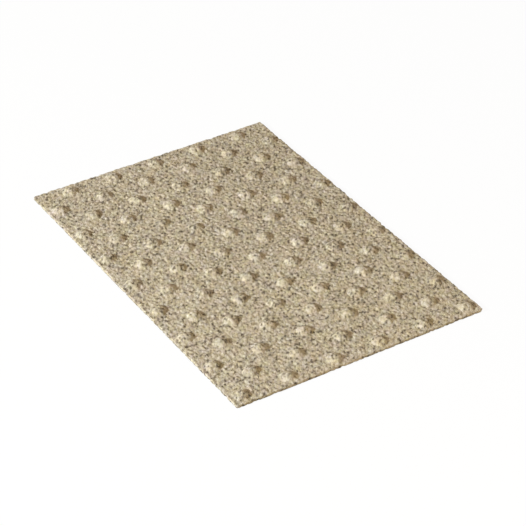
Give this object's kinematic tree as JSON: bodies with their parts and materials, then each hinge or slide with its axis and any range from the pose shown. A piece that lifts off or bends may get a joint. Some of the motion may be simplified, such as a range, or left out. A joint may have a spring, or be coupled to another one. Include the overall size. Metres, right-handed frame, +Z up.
{
  "type": "tactile paving slab",
  "caption": "Thin rectangular stone paving slab with a staggered field of low round domes on top, laid to warn people underfoot of a kerb, step or platform edge.",
  "frame": {"origin": "middle of the underside, which lies on the ground", "axes": "+X along the long side, +Y along the short side, +Z up out of the domed top"},
  "size_m": [0.598, 0.4104, 0.009],
  "materials": {
    "cast_stone": "matte"
  },
  "bodies": {
    "root": {"tactile_slab": "cast_stone"}
  },
  "joints": []
}
